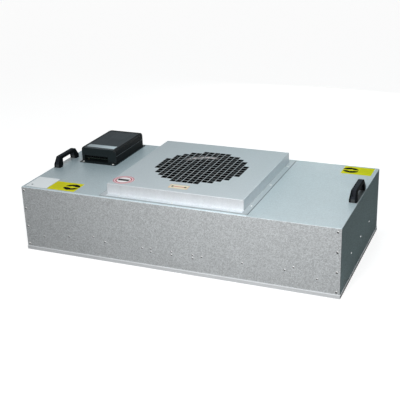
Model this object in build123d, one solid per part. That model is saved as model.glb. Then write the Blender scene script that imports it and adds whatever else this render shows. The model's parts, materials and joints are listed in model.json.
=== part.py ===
from build123d import *
import math
import os

# Fan filter unit for a clean room ceiling: a sheet steel casing with a centrifugal fan on a deck,
# a filter panel under it, a punched inlet hood and a speed controller on top, and two handles.
# Millimetres. X runs along the length, Y from the front to the back, Z up.
# The origin is the middle of the rectangle that the filter's lip stands on.

# ---------------------------------------------------------------- casing
casing_length = 1175.0
casing_width = 575.0
casing_height = 231.0
sheet = 1.2
bend_radius = 1.0

panel_flange = 20.0
panel_screw_count = 4
panel_screw_pitch = 70.0
panel_screw_foot_height = 8.5
panel_screw_inset = 11.0

# ---------------------------------------------------------------- filter panel
lip_height = 15.0
lip_reach = 1.5
filter_height = 50.0
filter_play = 0.1
profile_wall = 1.8
profile_top_flange = 14.0
profile_foot_flange = 18.0
gasket_thickness = 5.0
gasket_width = 12.0
gasket_inset = 1.0
pleat_pitch = 27.0
pleat_sheet = 0.5
pleat_top_room = 4.0
sealant_width = 8.0
guard_wire = 2.0
guard_pitch = 48.0
guard_overlap = 10.0

# ---------------------------------------------------------------- rails that press on the filter
rail_leg = 50.0
rail_shelf = 25.0
rail_sheet = 1.2
rail_joint_gap = 0.3

# ---------------------------------------------------------------- fan deck
deck_sheet = 2.0
deck_length = 420.0
deck_height = 90.0
deck_end_flange = 30.0
deck_side_flange = 20.0
deck_corner_gap = 3.0
deck_rivet_pitch = 79.0
deck_rivet_height = 65.0
deck_rivet_row_gap = 12.0

# ---------------------------------------------------------------- fasteners, modelled as their heads
screw_sides = 8
bolt_sides = 6
rivet_head = 6.4
rivet_head_height = 1.1
screw_head = 7.6
screw_head_height = 2.2
plate_screw_head = 6.0
rail_rivet_start = 112.0
rail_rivet_pitch = 146.0
rail_rivet_count = 3
rail_rivet_height = 75.0
corner_rivet_inset = 75.5
corner_rivet_height = 60.0
stay_rivet_height = 89.0
left_stay_rivet_inset = 282.5
right_stay_rivet_inset = 153.5
end_rivet_pitch = 138.0
end_rivet_height = 96.0

# ---------------------------------------------------------------- inlet hood
hood_size = 505.0
hood_height = 40.0
hood_flange = 20.0
hood_bend_radius = 2.0
hood_slit = 0.8
hood_corner_turns = (45.0, 135.0, 225.0, 315.0)
hood_screw_pitch = 203.0
casing_opening = 450.0
grille_pitch = 22.0
grille_hole = 19.0

# ---------------------------------------------------------------- inlet ring
ring_sheet = 1.2
ring_mouth_radius = 165.0
ring_flange = 14.0
ring_throat_radius = 134.0
ring_height = 56.0
ring_flare_depth = 26.0

# ---------------------------------------------------------------- impeller
impeller_radius = 200.0
impeller_sheet = 1.5
impeller_outlet_height = 84.0
impeller_cone_height = 28.0
impeller_neck_gap = 2.5
impeller_neck_overlap = 8.0
blade_count = 7
blade_sheet = 2.0
blade_inner_radius = 112.0
blade_outer_radius = 196.0
blade_sweep = 62.0
blade_bulge = 16.0
blade_gap = 0.1

# ---------------------------------------------------------------- motor
stator_flange_radius = 52.0
stator_flange_height = 6.0
bearing_outer_radius = 16.0
bearing_height = 10.0
bearing_tube_wall = 3.0
bearing_tube_height = 62.0
shaft_radius = 6.0
shaft_play = 0.05
shaft_end_gap = 1.0
core_radius = 44.0
core_height = 34.0
core_foot_height = 14.0
core_slot_count = 12
core_slot_width = 7.0
core_slot_depth = 13.0
core_rim = 5.0
winding_height = 8.0
air_gap = 0.6
rotor_wall = 5.0
rotor_running_gap = 3.0
rotor_height = 74.0
rotor_edge_bevel = 5.0
rotor_flange_reach = 14.0
rotor_flange_height = 4.0
rotor_hub_radius = 12.0
rotor_hub_height = 12.0
motor_bolt_count = 4
motor_bolt_circle = 43.0
motor_bolt_head = 8.5
motor_bolt_head_height = 4.0
hub_bolt_count = 6
hub_bolt_head = 7.0
hub_bolt_head_height = 2.5
fit_gap = 0.05

# ---------------------------------------------------------------- speed controller
base_end_gap = 65.5
base_back_gap = 12.0
box_width = 148.0
box_length = 231.0
box_height = 57.5
base_width = 158.0
base_overhang = 15.0
base_sheet = 2.0
base_corner_radius = 4.0
base_screw_spread = 129.0
box_wall = 2.5
box_boss = 9.0
box_edge_radius = 9.0
box_rib_foot_height = 26.0
box_rib_height = 4.0
box_rib_depth = 1.2
box_channel_width = 124.0
box_channel_depth = 0.6
end_plate = 3.0
end_plate_screw_inset = 6.0
window_width = 102.0
window_height = 22.0
window_shift = -12.0
window_sill = 2.0
socket_setback = 6.0
inlet_width = 28.0
inlet_height = 18.0
inlet_depth = 24.0
inlet_wall = 2.5
inlet_mouth_depth = 15.0
jack_count = 3
jack_width = 14.0
jack_height = 13.0
jack_pitch = 18.0
jack_depth = 18.0
jack_mouth = 9.0
jack_mouth_height = 6.4
jack_latch_width = 4.0
jack_latch_height = 2.6
jack_inset = 10.8
board_sheet = 1.6
board_margin = 8.0
board_height = 10.0
post_radius = 3.0
slot_length = 36.0
slot_width = 18.0
slot_shift = 30.0
slot_edging = 2.5

# ---------------------------------------------------------------- handles
handle_length = 140.0
handle_height = 40.0
handle_foot_width = 26.6
handle_bar_width = 21.0
handle_bar_thickness = 10.0
handle_top_length = 108.0
handle_gap_length = 96.0
handle_foot_length = 20.0
handle_foot_height = 12.0
handle_chamfer = 2.5
handle_gap_radius = 6.0
handle_inset = 17.0
handle_screw_pitch = 120.0
handle_pocket_width = 11.0
handle_screw_head = 9.0
handle_screw_head_height = 3.2

# ---------------------------------------------------------------- sizes that follow from those above
half_length = casing_length / 2
half_width = casing_width / 2
handle_x = half_length - handle_inset
casing_foot = lip_height
casing_top = casing_foot + casing_height
skin_inside_y = half_width - sheet
panel_inside_x = half_length - sheet
flange_inside_y = skin_inside_y - sheet

filter_half_length = half_length - 2 * sheet - filter_play
filter_half_width = half_width - 2 * sheet - filter_play
gasket_top = filter_height + gasket_thickness

rail_half_length = panel_inside_x - rail_shelf - rail_joint_gap
rail_inside_y = skin_inside_y - rail_sheet
deck_half = deck_length / 2

hood_half = hood_size / 2
hood_foot = casing_top
hood_top = hood_foot + hood_height
hood_screw_line = hood_half + hood_flange / 2

flare_top = hood_top - sheet
throat_foot = flare_top - ring_height

rotor_inner_radius = core_radius + air_gap
rotor_radius = rotor_inner_radius + rotor_wall
rotor_foot = deck_height + stator_flange_height + rotor_running_gap
rotor_top = rotor_foot + rotor_height
rotor_flange_top = rotor_foot + rotor_flange_height
hub_bolt_circle = rotor_radius + rotor_flange_reach / 2
backplate_top = rotor_flange_top + impeller_sheet
shroud_rim = backplate_top + impeller_outlet_height
shroud_shoulder = shroud_rim + impeller_cone_height
shroud_neck_top = throat_foot + impeller_neck_overlap
neck_radius = ring_throat_radius + ring_sheet + impeller_neck_gap

tube_radius = bearing_outer_radius + bearing_tube_wall
tube_top = deck_height + bearing_tube_height
bearing_feet = (deck_height, tube_top - bearing_height)

base_length = box_length + 2 * base_overhang
box_x = base_end_gap + base_width / 2 - half_length
box_y = half_width - base_back_gap - base_length / 2
slot_y = box_y + slot_shift
base_top = casing_top + base_sheet
box_top = casing_top + box_height
box_front = box_y - box_length / 2
box_back = box_y + box_length / 2
board_foot = base_top + board_height


# ---------------------------------------------------------------- small helpers
def block(x, y, z):
    """A box between two limits on each axis."""
    size = [limits[1] - limits[0] for limits in (x, y, z)]
    middle = [(limits[0] + limits[1]) / 2 for limits in (x, y, z)]
    return Pos(*middle) * Box(*size)


def rod(radius, foot, top, x=0.0, y=0.0):
    """An upright cylinder between two heights."""
    return Pos(x, y, (foot + top) / 2) * Cylinder(radius, top - foot)


def prism(points, plane, length):
    """A straight-sided outline pushed out on both sides of its plane."""
    outline = make_face(Polyline(*points, close=True))
    return extrude(plane * outline, amount=length / 2, both=True)


def turned(points):
    """A straight-sided half section in radius and height, turned about Z."""
    outline = make_face(Polyline(*points, close=True))
    return revolve(Plane.XZ * outline, Axis.Z)


def spread(count, pitch):
    """Places of evenly spaced things about zero."""
    return [(index - (count - 1) / 2) * pitch for index in range(count)]


def around(count, radius, start=0.0):
    """Places of evenly spaced things on a circle about Z."""
    turns = [math.radians(start + 360.0 * index / count) for index in range(count)]
    return [(radius * math.cos(turn), radius * math.sin(turn)) for turn in turns]


def head(width, height, sides=bolt_sides):
    """The head of a fastener, standing on z = 0."""
    return extrude(RegularPolygon(width / 2, sides), amount=height)


def lying(piece, x, y, z, way):
    """A fastener laid over so that its head points along X or Y, the way given by sign."""
    if way in ("+y", "-y"):
        turn = Rot(-90, 0, 0) if way == "+y" else Rot(90, 0, 0)
    else:
        turn = Rot(0, 90, 0) if way == "+x" else Rot(0, -90, 0)
    return Pos(x, y, z) * turn * piece


def save(name, *solids):
    """Write one named piece, or one group of like pieces."""
    piece = solids[0] if len(solids) == 1 else Compound(children=list(solids))
    export_step(piece, os.path.join("parts", name + ".step"))


# ---------------------------------------------------------------- places of the fasteners
panel_screw_heights = [
    casing_foot + panel_screw_foot_height + index * panel_screw_pitch for index in range(panel_screw_count)
]
panel_screw_x = half_length - panel_screw_inset


def wall_rivets():
    """Places of the rivets in the front wall, and in the back wall, as x and z."""
    rail_row = [(side * (rail_rivet_start + step * rail_rivet_pitch), rail_rivet_height)
                for step in range(rail_rivet_count) for side in (-1, 1)]
    corner_x = half_length - corner_rivet_inset
    corner_row = [(side * corner_x, corner_rivet_height) for side in (-1, 1)]
    stay_row = [(left_stay_rivet_inset - half_length, stay_rivet_height),
                (half_length - right_stay_rivet_inset, stay_rivet_height)]
    return rail_row + corner_row + stay_row + deck_rivets()


def deck_rivets():
    """Places of the rivet pairs that hold the deck, as x and z."""
    return [(x, deck_rivet_height + row * deck_rivet_row_gap)
            for x in spread(3, deck_rivet_pitch) for row in (0, 1)]


def hood_screws():
    """Places of the screws in the hood's flange, as x and y."""
    sides = [(along_side, side * hood_screw_line)
             for along_side in spread(3, hood_screw_pitch) for side in (-1, 1)]
    return sides + [(y, x) for x, y in sides]


def handle_screws():
    """Places of the handles' screws, as x and y."""
    return [(side * handle_x, y) for side in (-1, 1) for y in spread(2, handle_screw_pitch)]


def base_screws():
    """Places of the screws in the controller's base plate, as x and y."""
    row_spread = box_length + base_overhang
    return [(box_x + x, box_y + y) for x in spread(2, base_screw_spread) for y in spread(2, row_spread)]


# ---------------------------------------------------------------- casing
def folded(points, thickness, radius, side):
    """The section of a sheet that is folded along a path, on the path's left or right side."""
    return make_face(offset(FilletPolyline(*points, radius=radius), amount=thickness, side=side))


def casing_shell():
    """Front, top and back folded from one sheet, with the opening for the fan."""
    path = [(-half_width, casing_foot), (-half_width, casing_top),
            (half_width, casing_top), (half_width, casing_foot)]
    section = folded(path, sheet, bend_radius + sheet, Side.RIGHT)
    shell = extrude(Plane.YZ * section, amount=half_length, both=True)
    shell -= Pos(0, 0, casing_top) * Box(casing_opening, casing_opening, 4 * sheet)
    return shell - cable_slot(0)


def end_panel():
    """The right end panel: a tray with flanges at the front, the back and the top."""
    outer_radius = bend_radius + sheet
    panel_top = casing_top - sheet
    tray = block((half_length - panel_flange, half_length), (-skin_inside_y, skin_inside_y),
                 (casing_foot, panel_top))
    tray = fillet(tray.faces().sort_by(Axis.X)[-1].edges().sort_by(Axis.Z)[1:], outer_radius)
    hollow = block((half_length - 2 * panel_flange, panel_inside_x), (-flange_inside_y, flange_inside_y),
                   (casing_foot - sheet, panel_top - sheet))
    tray -= fillet(hollow.faces().sort_by(Axis.X)[-1].edges().sort_by(Axis.Z)[1:], bend_radius)
    notch = 2 * outer_radius
    for side in (-1, 1):
        tray -= Pos(half_length, side * skin_inside_y, panel_top) * Box(4 * panel_flange, notch, notch)
    return tray


def panel_screws():
    """Screws through the long walls into the end panels' flanges and, the lowest, the filter's frame."""
    screw = head(screw_head, screw_head_height, screw_sides)
    return [lying(screw, side * panel_screw_x, wall * half_width, z, "+y" if wall > 0 else "-y")
            for side in (-1, 1) for wall in (-1, 1) for z in panel_screw_heights]


def casing_rivets():
    """Blind rivets in the long walls and in the end panels, heads outside."""
    rivet = head(rivet_head, rivet_head_height)
    walls = [lying(rivet, x, wall * half_width, z, "+y" if wall > 0 else "-y")
             for wall in (-1, 1) for x, z in wall_rivets()]
    ends = [lying(rivet, end * half_length, y, end_rivet_height, "+x" if end > 0 else "-x")
            for end in (-1, 1) for y in spread(3, end_rivet_pitch)]
    return walls + ends


# ---------------------------------------------------------------- rails over the filter
def rail_section(wall, inward):
    """An angle with its leg against a wall and its shelf turned inward along the gasket."""
    wall_face = wall + inward * rail_sheet
    shelf_end = wall + inward * rail_shelf
    shelf_top = gasket_top + rail_sheet
    leg_top = gasket_top + rail_leg
    return make_face(Polyline((wall, leg_top), (wall, gasket_top), (shelf_end, gasket_top),
                              (shelf_end, shelf_top), (wall_face, shelf_top), (wall_face, leg_top),
                              close=True))


def long_rail():
    """The front rail, between the two end rails."""
    return extrude(Plane.YZ * rail_section(-skin_inside_y, 1), amount=rail_half_length, both=True)


def short_rail():
    """The right end rail, from flange to flange of its panel."""
    return extrude(Plane.XZ * rail_section(panel_inside_x, -1), amount=flange_inside_y - bend_radius,
                   both=True)


# ---------------------------------------------------------------- filter panel
def frame_profile():
    """The frame's extrusion, outward from the filter's side plane and up from its foot."""
    lip = half_width + lip_reach - filter_half_width
    inner = -profile_wall
    return [(-profile_foot_flange, 0), (lip, 0), (lip, lip_height), (0, lip_height),
            (0, filter_height), (-profile_top_flange, filter_height),
            (-profile_top_flange, filter_height - profile_wall), (inner, filter_height - profile_wall),
            (inner, lip_height - profile_wall), (lip - profile_wall, lip_height - profile_wall),
            (lip - profile_wall, profile_wall), (-profile_foot_flange, profile_wall)]


def mitre(half_run, half_across, depth):
    """A wedge seen from above that cuts a bar's two ends to 45 degrees."""
    return prism([(-half_run, -half_across), (half_run, -half_across),
                  (half_run - depth, -half_across + depth), (-half_run + depth, -half_across + depth)],
                 Plane.XY, 3 * filter_height)


def frame_bars():
    """The front and the right bar of the filter's frame, mitred at their ends."""
    run = half_length + lip_reach
    reach = half_width + lip_reach
    depth = reach - filter_half_width + profile_foot_flange + profile_wall
    section = [(-filter_half_width - out, z) for out, z in frame_profile()]
    front = prism(section, Plane.YZ, 2 * run) & mitre(run, reach, depth)
    section = [(filter_half_length + out, z) for out, z in frame_profile()]
    right = prism(section, Plane.XZ, 2 * reach) & Rot(0, 0, 90) * mitre(reach, run, depth)
    return front, right


media_half_length = filter_half_length - profile_wall - sealant_width
media_half_width = filter_half_width - profile_wall - sealant_width
guard_top = profile_wall + 2 * guard_wire


def filter_media():
    """Filter paper folded to and fro along the length, folds from the front to the back."""
    count = round(2 * media_half_length / pleat_pitch)
    half_pitch = media_half_length / count
    room = filter_height - profile_wall - pleat_top_room - guard_top
    lift = pleat_sheet * math.hypot(room, half_pitch) / half_pitch
    chain = [(-media_half_length + index * half_pitch, guard_top + (room - lift) * (index % 2))
             for index in range(2 * count + 1)]
    upper = [(x, z + lift) for x, z in reversed(chain)]
    return prism(chain + upper, Plane.XZ, 2 * media_half_width)


def filter_sealant():
    """Cast sealant between the folded paper and the frame."""
    height = lip_height - guard_top
    outer_x = filter_half_length - profile_wall
    outer_y = filter_half_width - profile_wall
    seal = block((-outer_x, outer_x), (-outer_y, outer_y), (guard_top, guard_top + height))
    return seal - block((-media_half_length, media_half_length), (-media_half_width, media_half_width),
                        (0, filter_height))


def filter_gasket():
    """Foam strip around the frame's top, pressed by the rails."""
    outer_x = filter_half_length - gasket_inset
    outer_y = filter_half_width - gasket_inset
    inner_x = outer_x - gasket_width
    inner_y = outer_y - gasket_width
    strip = block((-outer_x, outer_x), (-outer_y, outer_y), (filter_height, gasket_top))
    return strip - block((-inner_x, inner_x), (-inner_y, inner_y), (0, 2 * gasket_top))


def face_guard():
    """Square wires under the folded paper, the long ones laid on the cross ones."""
    half = guard_wire / 2
    run = filter_half_length - profile_foot_flange + guard_overlap
    reach = filter_half_width - profile_foot_flange + guard_overlap
    cross_count = int(2 * (run - guard_overlap) // guard_pitch) + 1
    long_count = int(2 * (reach - guard_overlap) // guard_pitch) + 1
    cross = [Pos(x, 0, profile_wall + half) * Box(guard_wire, 2 * reach, guard_wire)
             for x in spread(cross_count, guard_pitch)]
    long = [Pos(0, y, profile_wall + 3 * half) * Box(2 * run, guard_wire, guard_wire)
            for y in spread(long_count, guard_pitch)]
    return cross + long


# ---------------------------------------------------------------- fan deck
def fan_deck():
    """The folded plate that carries the motor, riveted to the long rails."""
    foot = deck_height - deck_end_flange
    outer_radius = bend_radius + deck_sheet
    plate = block((-deck_half, deck_half), (-rail_inside_y, rail_inside_y), (foot, deck_height))
    plate = fillet(plate.faces().sort_by(Axis.Z)[-1].edges(), outer_radius)
    inside = deck_half - deck_sheet
    reach = rail_inside_y - deck_sheet
    hollow = block((-inside, inside), (-reach, reach), (foot - deck_sheet, deck_height - deck_sheet))
    plate -= fillet(hollow.faces().sort_by(Axis.Z)[-1].edges(), bend_radius)
    side_foot = deck_height - deck_side_flange
    plate -= block((-casing_length, casing_length), (-reach + deck_corner_gap, reach - deck_corner_gap),
                   (foot - deck_sheet, side_foot))
    corner = 2 * (outer_radius + deck_corner_gap)
    for x in (-deck_half, deck_half):
        for y in (-rail_inside_y, rail_inside_y):
            plate -= Pos(x, y, foot) * Box(corner, corner, 2 * deck_end_flange - 2 * outer_radius)
            plate -= Pos(x, y, deck_height) * Box(outer_radius * 2, outer_radius * 2, 4 * outer_radius)
    return plate


# ---------------------------------------------------------------- inlet hood and ring
def grille_cells():
    """Places of the square holes: every cell whose middle lies inside the ring's mouth."""
    reach = int(ring_mouth_radius // grille_pitch)
    steps = range(-reach, reach + 1)
    return [(column * grille_pitch, row * grille_pitch) for column in steps for row in steps
            if math.hypot(column, row) * grille_pitch <= ring_mouth_radius]


def inlet_hood():
    """A folded box with outward flanges and a punched grille in its top."""
    half = hood_half
    body = block((-half, half), (-half, half), (hood_foot, hood_top))
    body = fillet(body.faces().sort_by(Axis.Z)[-1].edges(), hood_bend_radius + sheet)
    inside = hood_half - sheet
    hollow = block((-inside, inside), (-inside, inside), (hood_foot - sheet, hood_top - sheet))
    hollow = fillet(hollow.faces().sort_by(Axis.Z)[-1].edges(), hood_bend_radius)
    rim = hood_half + hood_flange
    flange = block((-rim, rim), (-rim, rim), (hood_foot, hood_foot + sheet))
    slit_length = 4 * hood_flange
    slit_middle = hood_half * math.sqrt(2) + slit_length / 2
    for turn in hood_corner_turns:
        flange -= Rot(0, 0, turn) * Pos(slit_middle, 0, hood_foot) * Box(slit_length, hood_slit, 4 * sheet)
    hood = body + flange - hollow
    hole = Box(grille_hole, grille_hole, 4 * sheet)
    return hood - [Pos(x, y, hood_top) * hole for x, y in grille_cells()]


def inlet_ring():
    """A spun ring that leads the air from the grille into the impeller."""
    path = Polyline((ring_mouth_radius + ring_flange, flare_top), (ring_mouth_radius, flare_top),
                    (ring_throat_radius, flare_top - ring_flare_depth), (ring_throat_radius, throat_foot))
    section = make_face(offset(path, amount=ring_sheet, side=Side.LEFT, kind=Kind.INTERSECTION))
    return revolve(Plane.XZ * section, Axis.Z)


# ---------------------------------------------------------------- impeller
def impeller_backplate():
    """The impeller's lower disc, seated on the rotor's flange."""
    disc = rod(impeller_radius, rotor_flange_top, backplate_top)
    return disc - rod(rotor_radius + fit_gap, rotor_flange_top - impeller_sheet, 2 * backplate_top)


def impeller_shroud():
    """The impeller's upper ring: a cone that turns up into the neck around the inlet ring."""
    slope = impeller_cone_height / (impeller_radius - neck_radius)
    lift = impeller_sheet * math.hypot(1, slope)
    outside = neck_radius + impeller_sheet
    return turned([(impeller_radius, shroud_rim), (impeller_radius, shroud_rim + lift),
                   (outside, shroud_shoulder + lift - slope * impeller_sheet), (outside, shroud_neck_top),
                   (neck_radius, shroud_neck_top), (neck_radius, shroud_shoulder)])


def impeller_blades():
    """Backward curved blades between the backplate and the shroud."""
    inner = (blade_inner_radius, 0)
    turn = math.radians(-blade_sweep)
    outer = (blade_outer_radius * math.cos(turn), blade_outer_radius * math.sin(turn))
    camber = SagittaArc(inner, outer, blade_bulge)
    section = make_face(offset(camber, amount=blade_sheet, side=Side.LEFT))
    blade = extrude(Pos(0, 0, backplate_top) * section, amount=shroud_shoulder - backplate_top)
    room = turned([(0, backplate_top), (impeller_radius, backplate_top),
                   (impeller_radius, shroud_rim - blade_gap), (neck_radius, shroud_shoulder - blade_gap),
                   (0, shroud_rim)])
    blade = blade & room
    return [Rot(0, 0, 360 * index / blade_count) * blade for index in range(blade_count)]


def hub_bolts():
    """Bolts that hold the backplate on the rotor's flange."""
    bolt = head(hub_bolt_head, hub_bolt_head_height, bolt_sides)
    return [Pos(x, y, backplate_top) * bolt for x, y in around(hub_bolt_count, hub_bolt_circle)]


# ---------------------------------------------------------------- motor
def stator_base():
    """The motor's fixed flange with the tube that holds both bearings."""
    seat = bearing_outer_radius
    flange_top = deck_height + stator_flange_height
    return turned([(seat, deck_height), (stator_flange_radius, deck_height),
                   (stator_flange_radius, flange_top), (tube_radius, flange_top),
                   (tube_radius, tube_top), (seat, tube_top)])


core_foot = deck_height + core_foot_height
core_top = core_foot + core_height
slot_outer = core_radius - core_rim
slot_inner = slot_outer - core_slot_depth


def stator_core():
    """Stacked laminations with slots that open to the rotor."""
    core = rod(core_radius, core_foot, core_top)
    core -= rod(tube_radius + fit_gap, core_foot - sheet, core_top + sheet)
    slot = block((slot_inner, core_radius + sheet), (-core_slot_width / 2, core_slot_width / 2),
                 (core_foot - sheet, core_top + sheet))
    return core - [Rot(0, 0, 360 * index / core_slot_count) * slot for index in range(core_slot_count)]


def stator_windings():
    """Copper end windings: a band of coils under the core and one over it."""
    band = RegularPolygon(slot_outer, core_slot_count) - RegularPolygon(slot_inner, core_slot_count)
    coils = extrude(band, amount=winding_height)
    return [Pos(0, 0, foot) * coils for foot in (core_foot - winding_height, core_top)]


def motor_bearings():
    """Two sealed ball bearings at the ends of the tube."""
    bore = shaft_radius + shaft_play
    outer = bearing_outer_radius - fit_gap
    return [rod(outer, foot, foot + bearing_height) - rod(bore, foot - sheet, foot + 2 * bearing_height)
            for foot in bearing_feet]


def motor_rotor():
    """The outer rotor: a cup over the stator with a flange for the impeller and a hub for the shaft."""
    inner_top = rotor_top - rotor_wall
    hub_foot = inner_top - rotor_hub_height
    bore = shaft_radius + fit_gap
    flange = rotor_radius + rotor_flange_reach
    cup = turned([(rotor_inner_radius, rotor_foot), (flange, rotor_foot), (flange, rotor_flange_top),
                  (rotor_radius, rotor_flange_top), (rotor_radius, rotor_top), (bore, rotor_top),
                  (bore, hub_foot), (rotor_hub_radius, hub_foot), (rotor_hub_radius, inner_top),
                  (rotor_inner_radius, inner_top)])
    shoulder = cup.edges().filter_by(GeomType.CIRCLE).group_by(Axis.Z)[-1].sort_by(SortBy.RADIUS)[-1]
    return chamfer(shoulder, rotor_edge_bevel)


def motor_shaft():
    """The shaft, fixed in the rotor's hub and turning in both bearings."""
    return rod(shaft_radius, deck_height + shaft_end_gap, rotor_top)


def motor_bolts():
    """Bolts through the deck from below into the motor's flange."""
    bolt = head(motor_bolt_head, motor_bolt_head_height, bolt_sides)
    return [Pos(x, y, deck_height - deck_sheet) * Rot(180, 0, 0) * bolt
            for x, y in around(motor_bolt_count, motor_bolt_circle, 45)]


# ---------------------------------------------------------------- speed controller
def box_end(length, middle_y):
    """A plate across the controller's end with the cover's outline."""
    half = box_width / 2
    outline = make_face(Polyline((-half, base_top), (-half, box_top), (half, box_top), (half, base_top),
                                 close=True))
    outline = fillet(outline.vertices().group_by(Axis.Y)[-1], box_edge_radius)
    return Pos(box_x, middle_y, 0) * extrude(Plane.XZ * outline, amount=length / 2, both=True)


def plate_screw_places():
    """Places of the screws in each end plate, as x and z."""
    reach = box_width / 2 - end_plate_screw_inset
    return [(box_x + side * reach, z) for side in (-1, 1)
            for z in (base_top + end_plate_screw_inset, box_top - end_plate_screw_inset)]


def controller_base():
    """The flat plate under the controller, longer than the box for its screws."""
    half_x = base_width / 2
    half_y = base_length / 2
    plate = block((box_x - half_x, box_x + half_x), (box_y - half_y, box_y + half_y),
                  (casing_top, base_top))
    plate = fillet(plate.edges().filter_by(Axis.Z), base_corner_radius)
    return plate - cable_slot(0)


def controller_cover():
    """The extruded cover with rounded shoulders, side ribs and a wide shallow channel along its top."""
    half = box_width / 2
    path = [(-half, base_top), (-half, box_top), (half, box_top), (half, base_top)]
    run = box_length - 2 * end_plate
    section = folded(path, box_wall, box_edge_radius, Side.RIGHT)
    cover = extrude(Plane.XZ * section, amount=run / 2, both=True)
    rib_foot = base_top + box_rib_foot_height
    for side in (-1, 1):
        rib_reach = sorted((side * (half - box_wall), side * (half + box_rib_depth)))
        cover += block(rib_reach, (-run / 2, run / 2), (rib_foot, rib_foot + box_rib_height))
        boss_reach = sorted((side * (half - box_wall / 2), side * (half - box_boss)))
        cover += block(boss_reach, (-run / 2, run / 2), (base_top, base_top + box_boss))
        cover += block(boss_reach, (-run / 2, run / 2), (box_top - box_boss, box_top - box_wall / 2))
    cover -= Pos(0, 0, box_top) * Box(box_channel_width, box_length, 2 * box_channel_depth)
    return Pos(box_x, box_y, 0) * cover


def controller_front():
    """The front end plate with the window for the sockets."""
    plate = box_end(end_plate, box_front + end_plate / 2)
    middle = box_x + window_shift
    sill = base_top + window_sill
    return plate - block((middle - window_width / 2, middle + window_width / 2),
                         (box_front - end_plate, box_front + 2 * end_plate), (sill, sill + window_height))


def controller_back():
    """The plain back end plate."""
    return box_end(end_plate, box_back - end_plate / 2)


def plate_screws():
    """Screws that hold both end plates on the cover."""
    screw = head(plate_screw_head, screw_head_height)
    front = [lying(screw, x, box_front, z, "-y") for x, z in plate_screw_places()]
    back = [lying(screw, x, box_back, z, "+y") for x, z in plate_screw_places()]
    return front + back


board_front = box_front + end_plate + socket_setback
board_back = box_back - end_plate - board_margin
board_half_width = box_width / 2 - box_wall - board_margin
board_top = board_foot + board_sheet


def controller_board():
    """The circuit board on its posts."""
    return block((box_x - board_half_width, box_x + board_half_width), (board_front, board_back),
                 (board_foot, board_top))


def board_posts():
    """Hexagonal posts between the base plate and the board."""
    reach = board_half_width - 2 * post_radius
    post = head(2 * post_radius, board_height, bolt_sides)
    return [Pos(box_x + side * reach, y, base_top) * post
            for side in (-1, 1) for y in (board_front + 4 * post_radius, board_back - 4 * post_radius)]


def power_inlet():
    """The mains inlet with its mouth to the front and three pins."""
    middle = box_x + window_shift + window_width / 2 - inlet_width
    half = inlet_width / 2
    top = board_top + inlet_height
    body = block((middle - half, middle + half), (board_front, board_front + inlet_depth), (board_top, top))
    mouth = block((middle - half + inlet_wall, middle + half - inlet_wall),
                  (board_front - inlet_wall, board_front + inlet_mouth_depth),
                  (board_top + inlet_wall, top - inlet_wall))
    mouth = chamfer(mouth.edges().filter_by(Axis.Y).group_by(Axis.Z)[-1], 2 * inlet_wall)
    body -= mouth
    pin_z = board_top + inlet_height / 2
    for x in spread(3, inlet_width / 4):
        body += Pos(middle + x, board_front + inlet_mouth_depth / 2 + inlet_wall, pin_z) * Box(
            inlet_wall / 2, inlet_mouth_depth, 2 * inlet_wall)
    return body


def signal_jacks():
    """Modular sockets beside the mains inlet, mouths to the front."""
    first = box_x + window_shift - window_width / 2 + jack_inset
    mouth = Pos(0, board_front, board_top + jack_height / 2)
    jack = block((-jack_width / 2, jack_width / 2), (board_front, board_front + jack_depth),
                 (board_top, board_top + jack_height))
    jack -= mouth * Box(jack_mouth, jack_depth, jack_mouth_height)
    jack -= mouth * Pos(0, 0, jack_mouth_height / 2) * Box(jack_latch_width, jack_depth, jack_latch_height)
    return [Pos(first + index * jack_pitch, 0, 0) * jack for index in range(jack_count)]


def cable_slot(margin):
    """The slot for the motor's lead through the casing's top and the base plate, less a margin."""
    half_x = slot_length / 2 - margin
    half_y = slot_width / 2 - margin
    return block((box_x - half_x, box_x + half_x), (slot_y - half_y, slot_y + half_y),
                 (casing_top - sheet - slot_edging, base_top + slot_edging))


def cable_edging():
    """The rubber edging that lines the slot."""
    return cable_slot(fit_gap) - Pos(0, 0, -slot_edging) * cable_slot(slot_edging) - Pos(
        0, 0, slot_edging) * cable_slot(slot_edging)


def top_screws(places):
    """Self-tapping screws that stand on a sheet which lies on the casing's top."""
    screw = head(screw_head, screw_head_height, screw_sides)
    return [Pos(x, y, z) * screw for x, y, z in places]


# ---------------------------------------------------------------- handles
def handle():
    """A moulded bridge handle along Y with spread legs and a screw pocket in each foot."""
    half = handle_length / 2
    half_top = handle_top_length / 2
    half_gap = handle_gap_length / 2
    inner_foot = half - handle_foot_length
    bar_foot = handle_height - handle_bar_thickness
    outline = make_face(Polyline((-half, 0), (-half, handle_foot_height), (-half_top, handle_height),
                                 (half_top, handle_height), (half, handle_foot_height), (half, 0),
                                 (inner_foot, 0), (half_gap - handle_gap_radius, bar_foot),
                                 (handle_gap_radius - half_gap, bar_foot), (-inner_foot, 0), close=True))
    side_view = extrude(Plane.YZ * outline, amount=handle_foot_width, both=True)
    foot = handle_foot_width / 2
    bar = handle_bar_width / 2
    front_view = prism([(-foot, 0), (-foot, handle_foot_height / 2), (-bar, handle_height - handle_chamfer),
                        (handle_chamfer - bar, handle_height), (bar - handle_chamfer, handle_height),
                        (bar, handle_height - handle_chamfer), (foot, handle_foot_height / 2), (foot, 0)],
                       Plane.XZ, 2 * handle_length)
    body = side_view & front_view
    pocket_half = handle_pocket_width / 2
    for y in spread(2, handle_screw_pitch):
        body -= block((-pocket_half, pocket_half), (y - pocket_half, y + pocket_half),
                      (handle_foot_height, 2 * handle_height))
    return Pos(0, 0, casing_top) * body


def handle_screw_set():
    """Screws in the handles' pockets."""
    screw = head(handle_screw_head, handle_screw_head_height, screw_sides)
    return [Pos(x, y, casing_top + handle_foot_height) * screw for x, y in handle_screws()]


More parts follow.
